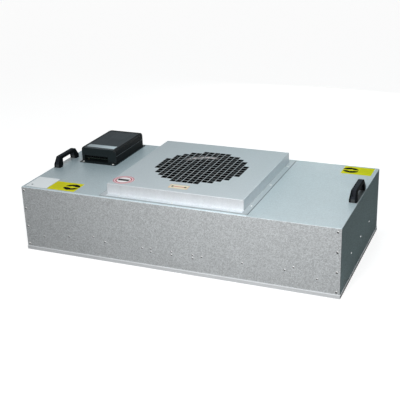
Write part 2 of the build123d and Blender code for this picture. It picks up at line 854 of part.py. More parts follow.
# ---------------------------------------------------------------- the whole unit
def main():
    os.makedirs("parts", exist_ok=True)

    save("casing_shell", casing_shell())
    panel = end_panel()
    save("end_panel_right", panel)
    save("end_panel_left", mirror(panel, Plane.YZ))
    save("panel_screws", *panel_screws())
    save("casing_rivets", *casing_rivets())

    rail = long_rail()
    save("filter_rail_front", rail)
    save("filter_rail_back", mirror(rail, Plane.XZ))
    rail = short_rail()
    save("filter_rail_right", rail)
    save("filter_rail_left", mirror(rail, Plane.YZ))

    front, right = frame_bars()
    save("filter_frame_front", front)
    save("filter_frame_back", mirror(front, Plane.XZ))
    save("filter_frame_right", right)
    save("filter_frame_left", mirror(right, Plane.YZ))
    save("filter_media", filter_media())
    save("filter_sealant", filter_sealant())
    save("filter_gasket", filter_gasket())
    save("face_guard", *face_guard())

    save("fan_deck", fan_deck())
    save("motor_bolts", *motor_bolts())
    save("stator_base", stator_base())
    save("stator_core", stator_core())
    save("stator_windings", *stator_windings())
    save("motor_bearings", *motor_bearings())
    save("motor_rotor", motor_rotor())
    save("motor_shaft", motor_shaft())
    save("impeller_backplate", impeller_backplate())
    save("impeller_blades", *impeller_blades())
    save("impeller_shroud", impeller_shroud())
    save("hub_bolts", *hub_bolts())

    save("inlet_hood", inlet_hood())
    save("inlet_ring", inlet_ring())
    save("hood_screws", *top_screws([(x, y, hood_foot + sheet) for x, y in hood_screws()]))

    save("controller_base", controller_base())
    save("controller_cover", controller_cover())
    save("controller_front", controller_front())
    save("controller_back", controller_back())
    save("controller_board", controller_board())
    save("board_posts", *board_posts())
    save("power_inlet", power_inlet())
    save("signal_jacks", *signal_jacks())
    save("plate_screws", *plate_screws())
    save("base_screws", *top_screws([(x, y, base_top) for x, y in base_screws()]))
    save("cable_edging", cable_edging())

    grip = handle()
    save("handle_left", Pos(-handle_x, 0, 0) * grip)
    save("handle_right", Pos(handle_x, 0, 0) * grip)
    save("handle_screws", *handle_screw_set())


main()
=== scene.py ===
import json
import math
import random

import bmesh
import bpy
from bpy.props import FloatProperty, FloatVectorProperty, IntProperty, PointerProperty
from mathutils import Matrix, Vector


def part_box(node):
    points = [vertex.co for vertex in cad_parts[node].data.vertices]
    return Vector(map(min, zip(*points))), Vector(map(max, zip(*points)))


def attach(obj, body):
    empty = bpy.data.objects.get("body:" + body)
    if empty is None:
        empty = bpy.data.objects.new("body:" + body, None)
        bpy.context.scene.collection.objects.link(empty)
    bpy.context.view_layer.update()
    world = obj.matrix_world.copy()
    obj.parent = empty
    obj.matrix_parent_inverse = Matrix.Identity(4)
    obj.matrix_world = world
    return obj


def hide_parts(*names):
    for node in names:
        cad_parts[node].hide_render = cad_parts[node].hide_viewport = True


bl_info = {
    "name": "Fan Filter Unit",
    "version": (1, 0, 0),
    "blender": (4, 5, 0),
    "location": "View3D > Sidebar > Fan Filter Unit",
    "description": "Finishes and fittings of a ceiling fan filter unit with its studio",
    "category": "Object",
}

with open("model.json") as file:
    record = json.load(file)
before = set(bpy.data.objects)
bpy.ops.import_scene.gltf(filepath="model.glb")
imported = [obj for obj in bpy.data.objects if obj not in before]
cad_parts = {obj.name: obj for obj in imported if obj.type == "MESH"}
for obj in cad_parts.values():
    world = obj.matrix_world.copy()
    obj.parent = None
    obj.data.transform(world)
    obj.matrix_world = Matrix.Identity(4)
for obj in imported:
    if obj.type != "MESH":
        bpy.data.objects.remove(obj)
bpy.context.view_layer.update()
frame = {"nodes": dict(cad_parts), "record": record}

MM = 0.001
CASING = "casing"
IMPELLER = "impeller"

# Where the surfaces of the casing and the hood part, in metres.
CASING_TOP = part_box("casing_shell")[1].z
CASING_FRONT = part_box("casing_shell")[0].y
CASING_WALL_END = CASING_TOP - 1.5 * MM
HOOD_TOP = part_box("inlet_hood")[1].z
HOOD_FLANGE_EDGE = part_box("inlet_hood")[1].x
HOOD_WALL = 252.5 * MM
HOOD_FLANGE_END = CASING_TOP + 1.5 * MM
HOOD_WALL_END = HOOD_TOP - 2.5 * MM


# ---------------------------------------------------------------- selecting and shaping
def clear_selection():
    """Back to object mode with nothing selected."""
    if bpy.context.object and bpy.context.object.mode != "OBJECT":
        bpy.ops.object.mode_set(mode="OBJECT")
    bpy.ops.object.select_all(action="DESELECT")


def start(name):
    """Names the primitive that was just added and opens it in edit mode with nothing selected."""
    piece = bpy.context.object
    piece.name = name
    piece.data.name = name
    bpy.ops.object.transform_apply(location=True, rotation=True, scale=True)
    bpy.ops.object.mode_set(mode="EDIT")
    bpy.ops.mesh.select_all(action="DESELECT")
    return piece


def end(piece, smooth=30):
    """Closes edit mode and smooths the faces that meet at less than the angle in degrees."""
    pick_only(piece)
    bpy.ops.object.shade_smooth_by_angle(angle=math.radians(smooth))
    return piece


def pick_only(piece):
    """Selects one piece in object mode and makes it the active one."""
    clear_selection()
    piece.select_set(True)
    bpy.context.view_layer.objects.active = piece


def pick_faces(piece, test):
    """Selects the faces whose middle and normal pass a test."""
    bpy.ops.mesh.select_mode(type="FACE")
    bpy.ops.mesh.select_all(action="DESELECT")
    mesh = bmesh.from_edit_mesh(piece.data)
    for face in mesh.faces:
        face.select_set(test(face.calc_center_median(), face.normal))
    bmesh.update_edit_mesh(piece.data)


def pick_edges(piece, test):
    """Selects the edges whose two ends pass a test."""
    bpy.ops.mesh.select_mode(type="EDGE")
    bpy.ops.mesh.select_all(action="DESELECT")
    mesh = bmesh.from_edit_mesh(piece.data)
    for edge in mesh.edges:
        edge.select_set(test(edge.verts[0].co, edge.verts[1].co))
    bmesh.update_edit_mesh(piece.data)


def pull(move):
    """Extrudes the selected faces along a vector."""
    bpy.ops.mesh.extrude_region_move(TRANSFORM_OT_translate={"value": move})


def add_block(name, low, high):
    """A box between two corners, open in edit mode."""
    clear_selection()
    low, high = Vector(low), Vector(high)
    bpy.ops.mesh.primitive_cube_add(size=1, location=(low + high) / 2, scale=high - low)
    return start(name)


def add_drum(name, radius, height, sides):
    """An upright drum that stands on z = 0, open in edit mode."""
    clear_selection()
    bpy.ops.mesh.primitive_cylinder_add(
        vertices=sides, radius=radius, depth=height, location=(0, 0, height / 2))
    return start(name)


def apply_modifier(piece, kind, **settings):
    """Adds a modifier with its settings and applies it."""
    pick_only(piece)
    modifier = piece.modifiers.new(kind.title(), kind)
    for key, value in settings.items():
        setattr(modifier, key, value)
    bpy.ops.object.modifier_apply(modifier=modifier.name)


def cut(piece, cutter):
    """Cuts one closed piece with another and removes the cutter."""
    apply_modifier(piece, "BOOLEAN", operation="DIFFERENCE", solver="EXACT", object=cutter)
    bpy.data.objects.remove(cutter)


def join(name, pieces):
    """Joins pieces into one whose object sits at the origin."""
    pick_only(pieces[0])
    for piece in pieces:
        piece.select_set(True)
    if len(pieces) > 1:
        bpy.ops.object.join()
    whole = bpy.context.object
    whole.name = name
    whole.data.name = name
    bpy.ops.object.transform_apply(location=True, rotation=True, scale=True)
    return whole


def coat(piece, finish):
    """Gives a piece one finish all over."""
    piece.data.materials.clear()
    piece.data.materials.append(finish)
    return piece


def frame_slot(node):
    """The material slot that the record gives a node."""
    return next(row["material_slot"] for row in frame["record"]["subparts"] if row["node"] == node)


def fit_out(piece, finish, body, slot, *nodes):
    """Coats a new piece, hangs it on its body and hides the nodes it stands for. The slot is not used."""
    coat(piece, finish)
    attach(piece, body)
    if nodes:
        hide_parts(*nodes)
    return piece


def coat_nodes(finish, *nodes):
    """Gives solids that stay as they are one finish."""
    for node in nodes:
        coat(frame["nodes"][node], finish)


# ---------------------------------------------------------------- finishes
class Wire:
    """A shader value that is written in arithmetic."""

    def __init__(self, nodes, socket):
        self.nodes = nodes
        self.socket = socket

    def maths(self, operation, *values):
        return self.nodes.node("ShaderNodeMath", {"operation": operation}, dict(enumerate(values)))

    def __add__(self, other):
        return self.maths("ADD", self, other)

    def __radd__(self, other):
        return self.maths("ADD", other, self)

    def __sub__(self, other):
        return self.maths("SUBTRACT", self, other)

    def __rsub__(self, other):
        return self.maths("SUBTRACT", other, self)

    def __mul__(self, other):
        return self.maths("MULTIPLY", self, other)

    def __rmul__(self, other):
        return self.maths("MULTIPLY", other, self)

    def __truediv__(self, other):
        return self.maths("DIVIDE", self, other)

    def __pow__(self, other):
        return self.maths("POWER", self, other)

    def size(self):
        return self.maths("ABSOLUTE", self)

    def nearest(self):
        return self.maths("ROUND", self)

    def sine(self):
        return self.maths("SINE", self)

    def greater(self, other):
        return self.maths("MAXIMUM", self, other)

    def sway(self, amount):
        """How far the value is above or below one half, times an amount."""
        return (self - 0.5) * amount

    def below(self, other):
        return self.maths("LESS_THAN", self, other)

    def above(self, other):
        return self.maths("GREATER_THAN", self, other)

    def held(self):
        """The value kept between 0 and 1."""
        return self.nodes.node("ShaderNodeClamp", {}, {"Value": self})

    def spread(self, low, high, to_low=0.0, to_high=1.0):
        """The value taken from one range to another, kept within it."""
        return self.nodes.node("ShaderNodeMapRange", {"clamp": True}, {
            "Value": self, "From Min": low, "From Max": high, "To Min": to_low, "To Max": to_high})


class Nodes:
    """A node tree whose nodes all come from one method."""

    def __init__(self, tree):
        self.tree = tree

    def node(self, kind, settings, sockets, output=0):
        """Adds any node: its type, its settings, and the values or links of its sockets."""
        node = self.tree.nodes.new(kind)
        for key, value in settings.items():
            setattr(node, key, value)
        for key, value in sockets.items():
            self.feed(node.inputs[key], value)
        return Wire(self, node.outputs[output]) if node.outputs else None

    def feed(self, socket, value):
        """Links a wire to a socket, or sets the socket to a number or colour."""
        if isinstance(value, Wire):
            self.tree.links.new(value.socket, socket)
        else:
            socket.default_value = value

    def seen(self):
        """1 for the rays that show the white background: direct, off metal or through glass."""
        direct, glossy, through = [self.node("ShaderNodeLightPath", {}, {}, kind) for kind in (
            "Is Camera Ray", "Is Glossy Ray", "Is Transmission Ray")]
        return (direct + glossy + through).held()


class Finish(Nodes):
    """One material: its nodes and its surface shader. Constants are set on the shader's own sockets."""

    def __init__(self, name, **constants):
        self.material = bpy.data.materials.new(name)
        self.material.use_nodes = True
        super().__init__(self.material.node_tree)
        self.shader = self.tree.nodes["Principled BSDF"]
        for key, value in constants.items():
            socket = key.replace("_", " ").title().replace("Ior", "IOR")
            self.feed(self.shader.inputs[socket], value)
        self.place = self.node("ShaderNodeTexCoord", {}, {}, "Object")
        self.x, self.y, self.z = self.parts(self.place)

    def parts(self, vector):
        """The three numbers of a vector."""
        first = self.node("ShaderNodeSeparateXYZ", {}, {0: vector})
        return [Wire(self, output) for output in first.socket.node.outputs]

    def vector(self, x, y, z):
        return self.node("ShaderNodeCombineXYZ", {}, {0: x, 1: y, 2: z})

    def distance(self, x, y):
        return (x * x + y * y) ** 0.5

    def stretched(self, stretch, place=None):
        """A place on the piece, stretched along the axes with small numbers."""
        return self.node("ShaderNodeMapping", {"vector_type": "POINT"}, {
            "Vector": place or self.place, "Scale": stretch})

    def noise(self, scale, detail=2.0, stretch=(1, 1, 1), place=None):
        """Cloudy noise between 0 and 1."""
        return self.node("ShaderNodeTexNoise", {}, {
            "Vector": self.stretched(stretch, place), "Scale": scale, "Detail": detail})

    def cells(self, scale, stretch=(1, 1, 1)):
        """A random number for each cell of a packed pattern."""
        colour = self.node("ShaderNodeTexVoronoi", {"feature": "F1"}, {
            "Vector": self.stretched(stretch), "Scale": scale}, "Color")
        return self.parts(colour)[0]

    def pores(self, scale):
        """How far each point is from the middle of its cell in a packed pattern."""
        return self.node("ShaderNodeTexVoronoi", {"feature": "F1"}, {
            "Vector": self.place, "Scale": scale}, "Distance")

    def shade(self, colour, factor):
        """A colour made lighter or darker by a factor."""
        return self.node("ShaderNodeVectorMath", {"operation": "SCALE"}, {
            0: colour if isinstance(colour, Wire) else tuple(colour), "Scale": factor})

    def mix(self, amount, first, second):
        """Two colours mixed."""
        first, second = [colour if isinstance(colour, Wire) else (*colour, 1) for colour in (first, second)]
        return self.node("ShaderNodeMix", {"data_type": "RGBA"}, {0: amount, 6: first, 7: second}, 2)

    def set(self, colour, roughness=None, metallic=None):
        """Feeds what varies over the surface to the shader."""
        for key, value in (("Base Color", colour), ("Roughness", roughness), ("Metallic", metallic)):
            if value is not None:
                self.feed(self.shader.inputs[key], value)

    def bump(self, height, depth, strength):
        """Relief of a depth in millimetres from a height between 0 and 1. Gives the finished material."""
        relief = self.node("ShaderNodeBump", {}, {
            "Height": height, "Distance": depth * MM, "Strength": strength})
        self.feed(self.shader.inputs["Normal"], relief)
        return self.material


def band(value, low, high, soft=0.0003):
    """1 between two limits with soft edges."""
    return value.spread(low - soft, low + soft) * value.spread(high - soft, high + soft, 1, 0)


def galvanised(name, colour, spangle=1.0, metallic=0.12, specular=0.3, painted_lit_top=None):
    """Zinc coated sheet: small spangles, faint clouds and rubbed places. A top colour, when given, is painted
    lighter than the walls for the light on the top, and brings a painted shadow beside the hood's flange, a
    painted highlight along the front top edge and a scratch.
    """
    m = Finish(name, metallic=metallic, specular_ior_level=specular)
    crystal = m.cells(330)
    grain = m.noise(520, 3)
    fine = m.noise(1300, 2)
    cloud = m.noise(5, 3)
    rolled = m.noise(26, 2, (1, 1, 9))
    rubbed = m.noise(9, 4).spread(0.56, 0.74)
    on_wall = m.z.below(CASING_WALL_END)
    strength = (0.35 + on_wall * 0.65) * (0.44 * spangle)
    shade = (1 + crystal.sway(strength) + grain.sway(strength)
             + fine.sway(0.16 * spangle) + cloud.sway(0.08) + rolled.sway(0.04))
    height = crystal * 0.5 + fine * 0.5
    if painted_lit_top is not None:
        # The top takes its own colour, painted lighter than the walls for the light on the top.
        colour = m.mix(on_wall, painted_lit_top, colour)
        on_top = m.z.above(CASING_WALL_END)
        reach = m.x.size().greater(m.y.size())
        # Painted shadow: a dark line on the top just outside the hood's flange edge.
        flange_shadow = band(reach, HOOD_FLANGE_EDGE - 0.1 * MM, HOOD_FLANGE_EDGE + 2.3 * MM, 0.4 * MM)
        # Painted highlight: a lighter strip along the front top edge of the casing.
        front_edge_highlight = m.y.below(CASING_FRONT + 8 * MM) * m.x.below(HOOD_FLANGE_EDGE)
        shade = shade * (1 - flange_shadow * on_top * 0.78) * (1 + front_edge_highlight * on_top * 0.38)
    base = m.shade(colour, shade + rubbed * 0.035)
    if painted_lit_top is not None:
        base, height = scratched(m, base, height)
    m.set(base, 0.46 + crystal.sway(0.16) + cloud.sway(0.12) - rubbed * 0.05)
    return m.bump(height, 0.03, 0.5)


def scratched(m, base, height):
    """One short bright scratch beside a rivet of the front wall."""
    start_x, start_z, end_x, end_z = -0.252, 0.0765, -0.233, 0.0655
    run = math.hypot(end_x - start_x, end_z - start_z)
    way_x, way_z = (end_x - start_x) / run, (end_z - start_z) / run
    along = (m.x - start_x) * way_x + (m.z - start_z) * way_z
    across = ((m.x - start_x) * -way_z + (m.z - start_z) * way_x).size()
    mark = across.spread(0.0004, 0.0012, 1, 0) * along.above(0) * along.below(run) * m.y.below(-0.280)
    return m.mix(mark * 0.7, base, (0.86, 0.87, 0.87)), height - mark * 0.8


def hood_sheet(name, colour):
    """Finer zinc coated sheet, with fine drawn lines down the walls, painted light on the walls, their rounded
    top edge and the front flange, and painted shade in the grille's holes and on the right flange.
    """
    m = Finish(name, metallic=0.15, specular_ior_level=0.3)
    crystal = m.cells(420)
    fine = m.noise(1400, 2)
    cloud = m.noise(7, 3)
    drawn = m.noise(60, 3, (1, 1, 0.08))
    flange = m.z.below(HOOD_FLANGE_END)
    wall = m.z.above(HOOD_FLANGE_END) * m.z.below(HOOD_WALL_END)
    # Painted highlight: a lighter line along the rounded top edge of the walls.
    fold_highlight = m.x.size().greater(m.y.size()).above(HOOD_WALL - 3.3 * MM) * m.z.above(HOOD_WALL_END)
    on_side = m.x.size().above(HOOD_WALL - 0.5 * MM)
    facing = 1 - on_side
    # Painted light: the front and back walls lighter towards their foot, the side walls lighter all over.
    painted_wall_light = m.z.spread(HOOD_FLANGE_END, HOOD_WALL_END, 0.36, 0.01) * facing + on_side * 0.50
    shade = (1 + crystal.sway(0.10) + fine.sway(0.07) + cloud.sway(0.08)
             + wall * (painted_wall_light + drawn.sway(0.16)) + fold_highlight * 0.14)
    # Painted shade: the right flange a little darker.
    right_flange_shade = flange * m.x.above(HOOD_WALL)
    # Painted light: the front flange as light as the wall above it.
    front_flange_light = flange * m.y.below(-HOOD_WALL) * m.y.above(3.5 * MM - HOOD_FLANGE_EDGE) * facing
    # Painted shade darkens the walls and rims of the grille's holes.
    shade = shade * (1 - hole_rim_shade(m) * 0.96) * (1 - right_flange_shade * 0.08) * (1 + front_flange_light * 0.40)
    m.set(m.shade(colour, shade), 0.42 + crystal.sway(0.12) + cloud.sway(0.14))
    return m.bump(crystal * 0.5 + fine * 0.5, 0.02, 0.5)


def hole_rim_shade(m):
    """1 on the walls and rolled rims of the grille's square holes, where the hood's finish paints shade."""
    pitch, rim_x, rim_y, reach = 22 * MM, 10.2 * MM, 10.45 * MM, 165.1 * MM
    column = (m.x / pitch).nearest() * pitch
    row = (m.y / pitch).nearest() * pitch
    inside = (m.x - column).size().below(rim_x) * (m.y - row).size().below(rim_y)
    return inside * m.distance(column, row).below(reach) * m.z.above(HOOD_TOP - 6 * MM)


def drawn_alloy(name, colour, along_x):
    """Extruded aluminium with fine die lines along the bar, a painted highlight along its top edge, and near
    its foot painted light on the long bars and painted shade on the short ones.
    """
    metallic, specular = (0.15, 0.15) if along_x else (0.35, 0.0)
    m = Finish(name, metallic=metallic, specular_ior_level=specular)
    stretch = (0.02, 1, 1) if along_x else (1, 0.02, 1)
    lines = m.noise(900, 2, stretch)
    wide = m.noise(120, 2, stretch)
    cloud = m.noise(11, 3)
    # Painted highlight along the top edge of the bar.
    top_edge_highlight = m.z.spread(11.0 * MM, 12.2 * MM) * 0.40
    # Near the foot: painted light on the long bars, painted shade over the lower part of the short bars.
    lower = m.z.spread(1.2 * MM, 2.8 * MM, 0.16, 0) if along_x else m.z.spread(7.5 * MM, 9.5 * MM, -0.96, 0)
    shade = 1.12 + top_edge_highlight + lower + lines.sway(0.22) + wide.sway(0.10) + cloud.sway(0.10)
    m.set(m.shade(colour, shade), 0.42 + lines.sway(0.2))
    return m.bump(lines, 0.03, 0.6)


def turned_metal(name, colour, metallic, rough, rings=900, specular=0.5, glint=False):
    """Metal turned about the upright axis, with fine rings. A glint is a painted highlight: an arc near the
    throat.
    """
    m = Finish(name, metallic=metallic, specular_ior_level=specular)
    radius = m.distance(m.x, m.y)
    ring = m.noise(rings, 2, (1, 1, 1), m.vector(radius, 0.0, m.z))
    cloud = m.noise(14, 3)
    base = m.shade(colour, 1 + ring.sway(0.20) + cloud.sway(0.16))
    if glint:
        inner, outer, start_x, end_x = 0.1375, 0.1425, -0.098, 0.004
        # Painted highlight: a light arc on the far side of the flare, near the throat.
        painted_highlight = band(radius, inner, outer, 0.0012) * band(m.x, start_x, end_x, 0.012) * m.y.above(0)
        base = m.mix(painted_highlight * 0.95, base, (0.88, 0.79, 0.79))
    m.set(base, rough + ring.sway(0.16))
    return m.bump(ring, 0.02, 0.5)


def cast_metal(name, colour, metallic, rough, scale=700, depth=0.08, specular=0.5):
    """Metal or paint with a fine pebbled skin."""
    m = Finish(name, metallic=metallic, specular_ior_level=specular)
    skin = m.noise(scale, 3)
    cloud = m.noise(18, 3)
    m.set(m.shade(colour, 1 + skin.sway(0.22) + cloud.sway(0.18)), rough + cloud.sway(0.14))
    return m.bump(skin, depth, 0.5)


def plated(name, colour, metallic=0.45):
    """Plated metal of small turned parts."""
    m = Finish(name, metallic=metallic)
    fine = m.noise(2600, 2)
    cloud = m.noise(260, 3)
    m.set(m.shade(colour, 1 + fine.sway(0.18) + cloud.sway(0.22)), 0.34 + cloud.sway(0.24))
    return m.bump(fine, 0.01, 0.5)


def laminations(name):
    """Stacked electrical sheet, seen from its edge."""
    m = Finish(name, metallic=0.5)
    layer = m.noise(1, 1, (1, 1, 2000), m.vector(0.0, 0.0, m.z))
    rust = m.noise(120, 4).spread(0.5, 0.8)
    m.set(m.mix(rust * 0.3, m.shade((0.16, 0.16, 0.17), 0.7 + layer * 0.6), (0.20, 0.12, 0.08)), 0.5)
    return m.bump(layer, 0.1, 0.6)


def windings(name):
    """Varnished copper wire wound in bundles."""
    m = Finish(name, metallic=0.7, coat_weight=0.5)
    strand = m.node("ShaderNodeTexWave", {"wave_type": "BANDS", "bands_direction": "Z"}, {
        "Vector": m.place, "Scale": 420.0, "Distortion": 2.5, "Detail": 2.0}, "Fac")
    m.set(m.shade((0.55, 0.22, 0.09), 0.65 + strand * 0.6), 0.35)
    return m.bump(strand, 0.25, 0.8)


def pleats(name):
    """White filter paper, soft and fibrous."""
    m = Finish(name)
    fibre = m.noise(1800, 4)
    web = m.noise(300, 3)
    m.set(m.shade((0.88, 0.88, 0.86), 1 + fibre.sway(0.10) + web.sway(0.07)), 0.95)
    return m.bump(fibre, 0.12, 0.8)


def foam(name, colour):
    """Closed cell foam or rubber with pores."""
    m = Finish(name)
    pore = m.pores(900)
    m.set(m.shade(colour, 0.75 + pore * 0.6), 0.85)
    return m.bump(pore, 0.2, 0.7)


def black_anodised(name, colour, is_cover):
    """Black anodised alloy: faint lines, dust and a painted sheen in the top's channel. The cover is drawn
    along y and has a rib with a painted highlight; the plates get a band of painted shade at the window.
    """
    m = Finish(name, metallic=0.0, specular_ior_level=0.02 if is_cover else 0.10)
    lines = m.noise(700, 2, (1, 0.015, 1) if is_cover else (1, 1, 1))
    dust = m.noise(520, 4).spread(0.52, 0.8)
    cloud = m.noise(22, 3)
    low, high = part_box("controller_cover")
    on_top = m.z.spread(high.z - 1.3 * MM, high.z - 0.3 * MM)
    # Painted sheen: the channel on the cover's top is mixed lighter, so its edges stay dark.
    channel = band(m.x, low.x + 12 * MM, high.x - 10.5 * MM, 1.5 * MM) * m.y.spread(0.247, 0.250, 1, 0) * on_top
    tone = 1 + lines.sway(0.6) + cloud.sway(0.5)
    if not is_cover:
        # Painted shade: a darker band across the plates at the window.
        window_shade = band(m.y, 0.0300, 0.0400)
        tone = tone * (1 - window_shade * 0.8)
    # Real dust, plus the painted sheen of the channel.
    dust_and_sheen = dust * 0.03 + channel * (0.180 + lines.sway(0.30))
    base = m.mix(dust_and_sheen, m.shade(colour, tone), (0.42, 0.48, 0.53))
    if is_cover:
        faded = band(m.x, -0.468, -0.404, 0.001) * band(m.y, 0.165, 0.232, 0.001) * on_top
        base = m.mix(faded * (0.02 + dust * 0.10), base, (0.42, 0.48, 0.54))
        # Painted highlight along the rib on the cover's side.
        ridge_highlight = m.x.above(high.x - 0.6 * MM) * band(m.z, 0.2768, 0.2785)
        base = m.mix(ridge_highlight * 0.30, base, (0.42, 0.46, 0.48))
    m.set(base, 0.40 + lines.sway(0.2) + dust * 0.15 + cloud.sway(0.12))
    return m.bump(lines, 0.03, 0.7)


def moulded(name, colour, rough=0.5, grain=900, depth=0.06, specular=0.16):
    """Moulded plastic with an eroded texture and rubbed patches."""
    m = Finish(name, specular_ior_level=specular)
    pebble = m.noise(grain, 3)
    cloud = m.noise(30, 3)
    rub = m.noise(70, 4).spread(0.6, 0.8)
    base = m.mix(rub * 0.05, m.shade(colour, 1 + pebble.sway(0.35) + cloud.sway(0.3)), (0.5, 0.5, 0.5))
    m.set(base, rough + pebble.sway(0.2) - rub * 0.12)
    return m.bump(pebble, depth, 0.7)


def grip_plastic(name, colour, middle, foot):
    """Black moulded plastic, paler along the middle of a handle and on its feet."""
    m = Finish(name, specular_ior_level=0.005)
    pebble = m.noise(900, 3)
    cloud = m.noise(30, 3)
    aside = (m.x.size() - middle).size()
    pale_middle = aside.spread(0.0055, 0.0075, 1, 0)
    step = m.z.spread(foot + 0.0115, foot + 0.0130, 1, 0)
    base = m.mix(pale_middle, m.shade(colour, 0.6), m.shade((0.033, 0.037, 0.044), 1 + cloud.sway(0.4)))
    base = m.mix(step * pale_middle, base, (0.070, 0.077, 0.078))
    m.set(m.shade(base, 1 + pebble.sway(0.35)), 0.5 + pebble.sway(0.2))
    return m.bump(pebble, 0.06, 0.7)


def circuit(name):
    """Green board with darker lands and bright pads; its greens are painted darker for the shade inside the
    controller.
    """
    m = Finish(name, coat_weight=0.4)
    land = m.cells(160, (1, 0.35, 1)).above(0.45)
    pad = m.pores(210).below(0.16)
    # Painted shade: the board's greens are darkened for the shade inside the controller.
    base = m.mix(land * 0.7, (0.006, 0.022, 0.013), (0.004, 0.014, 0.008))
    m.set(m.mix(pad, base, (0.20, 0.19, 0.16)), 0.38, pad * 0.5)
    return m.bump(land, 0.04, 0.7)


# ---------------------------------------------------------------- sticker finishes
def film(name, draw, middle, gloss, foil):
    """A printed film whose print is drawn in metres about its own middle."""
    m = Finish(name, metallic=foil, specular_ior_level=gloss)
    wrinkle = m.noise(45, 3)
    fibre = m.noise(1500, 2)
    print_colour = draw(m, m.x - middle[0], m.y - middle[1])
    m.set(m.shade(print_colour, 1 + wrinkle.sway(0.05) + fibre.sway(0.05)), 0.42 + wrinkle.sway(0.2))
    return m.bump(wrinkle, 0.12, 0.5)


def white_print(m, along, across):
    """Plain white film with a small grey punched dot near its outer front corner."""
    radius = m.distance(along + 0.0265, across + 0.0285)
    rim = radius.spread(0.0048, 0.0060, 1, 0)
    dot = radius.spread(0.0034, 0.0042, 1, 0)
    base = m.mix(rim * 0.35, (0.98, 0.99, 1.0), (0.60, 0.63, 0.65))
    return m.mix(dot, base, (0.13, 0.15, 0.16))


def yellow_print(side, yellow):
    """Yellow film with two bold dark arcs on one half and pale bars on the other. The side is 1 or -1."""
    def draw(m, along, across):
        outward = along * side
        ring_x, ring_y = (outward - 0.026) / 0.0245, across / 0.0215
        radius = m.distance(ring_x, ring_y)
        arcs = band(radius, 0.46, 1.16, 0.03) * ring_y.size().above(0.20)
        tails = band(radius, 0.18, 1.28, 0.03) * ring_y.size().above(0.34) * (ring_x * ring_y).above(0.02)
        bars = (across * 620).sine().above(0.35) * band(outward, -0.048, -0.006) * band(across, -0.027, 0.027)
        base = m.mix(bars * 0.30, yellow, (0.48, 0.43, 0.03))
        return m.mix(arcs.greater(tails), base, (0.003, 0.003, 0.002))
    return draw


def round_print(m, along, across):
    """White disc with two red rings, pink between them, and a plain dark bar."""
    radius = m.distance(along, across)
    ring = band(radius, 0.0252, 0.0300, 0.0005)
    gap = band(radius, 0.0300, 0.0342, 0.0005)
    thin = band(radius, 0.0342, 0.0379, 0.0004)
    bar = band(along, -0.0215, 0.0215, 0.001) * band(across, -0.0082, 0.0074, 0.0008)
    base = m.mix(ring * 0.9, (1.0, 0.93, 0.93), (0.50, 0.02, 0.045))
    base = m.mix(gap, base, (0.95, 0.66, 0.69))
    base = m.mix(thin * 0.85, base, (0.52, 0.08, 0.13))
    return m.mix(bar, base, (0.012, 0.010, 0.012))


def orange_print(m, along, across):
    """Cream film with an orange border and one fine red line with dark ends."""
    edge = (along.size() / 0.0355).greater(across.size() / 0.0170).above(0.86)
    line = band(along, -0.022, 0.022, 0.0005) * band(across, -0.0028, 0.0022, 0.0006)
    ends = band(along.size(), 0.0205, 0.0275, 0.0008) * band(across, -0.0052, 0.0048, 0.0008)
    base = m.mix(edge * 0.42, (0.97, 0.87, 0.66), (0.88, 0.36, 0.10))
    base = m.mix(line * 0.8, base, (0.80, 0.06, 0.05))
    return m.mix(ends * 0.95, base, (0.06, 0.02, 0.01))


def silver_print(m, along, across):
    """Plain silver foil, brighter towards one end."""
    brushed = m.noise(500, 2, (0.05, 1, 1))
    return m.shade((0.66, 0.72, 0.75), 0.55 + brushed * 0.2 + along.spread(-0.06, 0.06, 0, 0.6))


# ---------------------------------------------------------------- fasteners
def heads_of(node):
    """Lowest and highest corner of each separate head in a node's mesh, in a fixed order."""
    mesh = bmesh.new()
    mesh.from_mesh(frame["nodes"][node].data)
    bmesh.ops.remove_doubles(mesh, verts=mesh.verts, dist=1e-6)
    left = set(mesh.verts)
    islands = []
    while left:
        seed = left.pop()
        island, edge = [seed.co.copy()], [seed]
        while edge:
            vertex = edge.pop()
            for link in vertex.link_edges:
                other = link.other_vert(vertex)
                if other in left:
                    left.remove(other)
                    island.append(other.co.copy())
                    edge.append(other)
        islands.append(island)
    mesh.free()
    heads = []
    for island in islands:
        low = Vector([min(point[axis] for point in island) for axis in range(3)])
        high = Vector([max(point[axis] for point in island) for axis in range(3)])
        heads.append((low, high))
    return sorted(heads, key=lambda head: tuple(round(value, 5) for value in head[0]))


def stand_heads(name, node, make_head, body, finish, sign=None):
    """Copies one modelled head to each place in a node and stands for that node."""
    places = heads_of(node)
    node_middle = sum((low + high for low, high in places), Vector()) / (2 * len(places))
    turns = random.Random(name)
    master = None
    copies = []
    for low, high in places:
        size, middle = high - low, (high + low) / 2
        thin = min(range(3), key=lambda axis: size[axis])
        master = master or make_head(name + "_master", max(size), size[thin])
        way = Vector((0, 0, 0))
        way[thin] = sign or (1 if thin == 2 or middle[thin] > node_middle[thin] else -1)
        copy = master.copy()
        copy.data = master.data.copy()
        bpy.context.collection.objects.link(copy)
        turn = Matrix.Rotation(turns.uniform(0, math.tau), 4, "Z")
        seat = middle - way * size[thin] / 2
        copy.matrix_world = Matrix.Translation(seat) @ way.to_track_quat("Z", "Y").to_matrix().to_4x4() @ turn
        copies.append(copy)
    bpy.data.objects.remove(master)
    bpy.context.view_layer.update()
    shade_under(fit_out(join(name, copies), finish, body, frame_slot(node), node), places)


